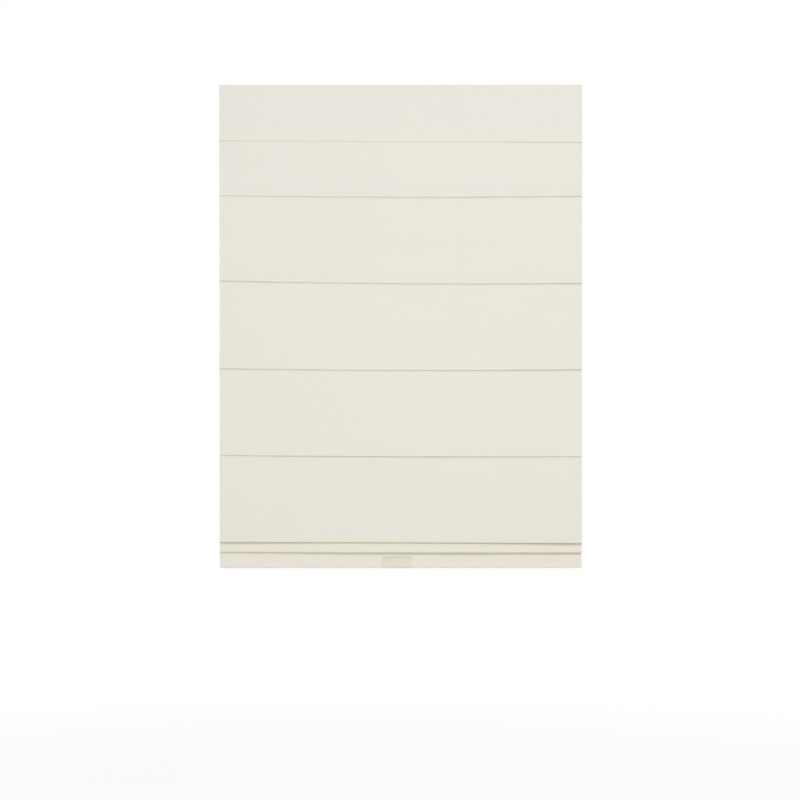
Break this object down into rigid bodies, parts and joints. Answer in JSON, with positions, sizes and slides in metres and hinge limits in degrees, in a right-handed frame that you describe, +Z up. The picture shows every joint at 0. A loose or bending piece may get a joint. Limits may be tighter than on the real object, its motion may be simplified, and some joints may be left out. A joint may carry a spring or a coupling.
{
  "type": "roman blind",
  "caption": "Cordless roman blind: a flat cream cloth with soft cross folds and a plain valance, on ribs and lift cords, raised by a spring motor in its head rail.",
  "frame": {"origin": "middle of the four screw holes, on the top faces of the two brackets", "axes": "+X to the right seen from the room, +Y towards the window, +Z up"},
  "size_m": [0.914, 0.0498, 1.2217],
  "materials": {
    "cloth": "cream plain weave",
    "cord": "braided polyester",
    "tape": "hook and loop pile",
    "head_rail": "satin white paint",
    "bottom_rail": "mill",
    "steel": "zinc plated",
    "clear_plastic": "translucent moulded",
    "rib": "pultruded glass fibre",
    "ring": "moulded",
    "nylon": "moulded nylon",
    "white_plastic": "moulded"
  },
  "bodies": {
    "head": {"headrail": "head_rail", "headrail_cap_left": "white_plastic", "headrail_cap_right": "white_plastic", "bracket_left": "steel", "bracket_right": "steel", "hook_tape_cloth": "tape", "loop_tape_cloth": "tape", "hook_tape_valance": "tape", "loop_tape_valance": "tape", "motor_base": "nylon", "motor_cover": "nylon", "power_spring": "steel", "guide_left": "nylon", "guide_right": "nylon", "lift_cord_left": "cord", "lift_cord_right": "cord", "shade_fabric": "cloth", "valance": "cloth"},
    "fold_1": {"rib_1": "rib", "ring_left_1": "ring", "ring_right_1": "ring"},
    "fold_2": {"rib_2": "rib", "ring_left_2": "ring", "ring_right_2": "ring"},
    "fold_3": {"rib_3": "rib", "ring_left_3": "ring", "ring_right_3": "ring"},
    "fold_4": {"rib_4": "rib", "ring_left_4": "ring", "ring_right_4": "ring"},
    "fold_5": {"rib_5": "rib", "ring_left_5": "ring", "ring_right_5": "ring"},
    "foot": {"rib_6": "rib", "ring_left_6": "ring", "ring_right_6": "ring", "bottom_rail": "bottom_rail", "bottom_cap_left": "white_plastic", "bottom_cap_right": "white_plastic", "cord_anchor_left": "white_plastic", "cord_anchor_right": "white_plastic", "pull_handle": "clear_plastic"},
    "spool_pin_left": {"spool_pin_left": "steel"},
    "spool_left": {"spool_left": "nylon"},
    "output_pin": {"output_pin": "steel"},
    "output_drum": {"output_drum": "nylon"},
    "storage_pin": {"storage_pin": "steel"},
    "storage_drum": {"storage_drum": "nylon"},
    "spool_pin_right": {"spool_pin_right": "steel"},
    "spool_right": {"spool_right": "nylon"},
    "pulley_pin_left": {"pulley_pin_left": "steel"},
    "pulley_left": {"pulley_left": "nylon"},
    "pulley_pin_right": {"pulley_pin_right": "steel"},
    "pulley_right": {"pulley_right": "nylon"}
  },
  "joints": [
    {"name": "raise", "type": "slide", "parent": "head", "child": "fold_1", "axis": [0, 0, 1], "range_m": [0, 0.192], "deforming": ["shade_fabric", "lift_cord_left", "lift_cord_right", "power_spring"]},
    {"name": "fold_2_slide", "type": "slide", "parent": "fold_1", "child": "fold_2", "axis": [0, 0, 1], "range_m": [0, 0.192]},
    {"name": "fold_3_slide", "type": "slide", "parent": "fold_2", "child": "fold_3", "axis": [0, 0, 1], "range_m": [0, 0.192]},
    {"name": "fold_4_slide", "type": "slide", "parent": "fold_3", "child": "fold_4", "axis": [0, 0, 1], "range_m": [0, 0.192]},
    {"name": "let_down", "type": "slide", "parent": "fold_4", "child": "fold_5", "axis": [0, 0, 1], "range_m": [-0.192, 0], "deforming": ["shade_fabric", "lift_cord_left", "lift_cord_right", "power_spring"]},
    {"name": "foot_slide", "type": "slide", "parent": "fold_5", "child": "foot", "axis": [0, 0, 1], "range_m": [-0.192, 0]},
    {"name": "spool_pin_left_turn", "type": "hinge", "parent": "head", "child": "spool_pin_left", "pos_m": [-0.048, 0, -0.0305], "axis": [0, 0, 1], "range_deg": [-1572, 0]},
    {"name": "spool_left_turn", "type": "hinge", "parent": "spool_pin_left", "child": "spool_left", "pos_m": [-0.048, 0, -0.0305], "axis": [0, 0, 1], "range_deg": [0, 3144]},
    {"name": "output_pin_turn", "type": "hinge", "parent": "head", "child": "output_pin", "pos_m": [-0.016, 0, -0.0305], "axis": [0, 0, 1], "range_deg": [0, 1572]},
    {"name": "output_drum_turn", "type": "hinge", "parent": "output_pin", "child": "output_drum", "pos_m": [-0.016, 0, -0.0305], "axis": [0, 0, 1], "range_deg": [-3144, 0]},
    {"name": "storage_pin_turn", "type": "hinge", "parent": "head", "child": "storage_pin", "pos_m": [0.016, 0, -0.0305], "axis": [0, 0, 1], "range_deg": [-1572, 0]},
    {"name": "storage_drum_turn", "type": "hinge", "parent": "storage_pin", "child": "storage_drum", "pos_m": [0.016, 0, -0.0305], "axis": [0, 0, 1], "range_deg": [0, 3144]},
    {"name": "spool_pin_right_turn", "type": "hinge", "parent": "head", "child": "spool_pin_right", "pos_m": [0.048, 0, -0.0305], "axis": [0, 0, 1], "range_deg": [0, 1572]},
    {"name": "spool_right_turn", "type": "hinge", "parent": "spool_pin_right", "child": "spool_right", "pos_m": [0.048, 0, -0.0305], "axis": [0, 0, 1], "range_deg": [-3144, 0]},
    {"name": "pulley_pin_left_turn", "type": "hinge", "parent": "head", "child": "pulley_pin_left", "pos_m": [-0.293, -0.014, -0.0201], "axis": [0, 1, 0], "range_deg": [-3144, 0]},
    {"name": "pulley_left_turn", "type": "hinge", "parent": "pulley_pin_left", "child": "pulley_left", "pos_m": [-0.293, -0.014, -0.0201], "axis": [0, 1, 0], "range_deg": [0, 6287]},
    {"name": "pulley_pin_right_turn", "type": "hinge", "parent": "head", "child": "pulley_pin_right", "pos_m": [0.293, -0.014, -0.0201], "axis": [0, 1, 0], "range_deg": [0, 3144]},
    {"name": "pulley_right_turn", "type": "hinge", "parent": "pulley_pin_right", "child": "pulley_right", "pos_m": [0.293, -0.014, -0.0201], "axis": [0, 1, 0], "range_deg": [-6287, 0]}
  ],
  "couplings": [
    {"joint": "fold_2_slide", "follows": "raise", "ratio": 1},
    {"joint": "fold_3_slide", "follows": "raise", "ratio": 1},
    {"joint": "fold_4_slide", "follows": "raise", "ratio": 1},
    {"joint": "foot_slide", "follows": "let_down", "ratio": 1},
    {"joint": "spool_pin_left_turn", "follows": "let_down", "rad_per_m": 142.86},
    {"joint": "spool_left_turn", "follows": "raise", "rad_per_m": 285.71},
    {"joint": "output_pin_turn", "follows": "let_down", "rad_per_m": -142.86},
    {"joint": "output_drum_turn", "follows": "raise", "rad_per_m": -285.71},
    {"joint": "storage_pin_turn", "follows": "let_down", "rad_per_m": 142.86},
    {"joint": "storage_drum_turn", "follows": "raise", "rad_per_m": 285.71},
    {"joint": "spool_pin_right_turn", "follows": "let_down", "rad_per_m": -142.86},
    {"joint": "spool_right_turn", "follows": "raise", "rad_per_m": -285.71},
    {"joint": "pulley_pin_left_turn", "follows": "let_down", "rad_per_m": 285.71},
    {"joint": "pulley_left_turn", "follows": "raise", "rad_per_m": 571.43},
    {"joint": "pulley_pin_right_turn", "follows": "let_down", "rad_per_m": -285.71},
    {"joint": "pulley_right_turn", "follows": "raise", "rad_per_m": -571.43}
  ]
}
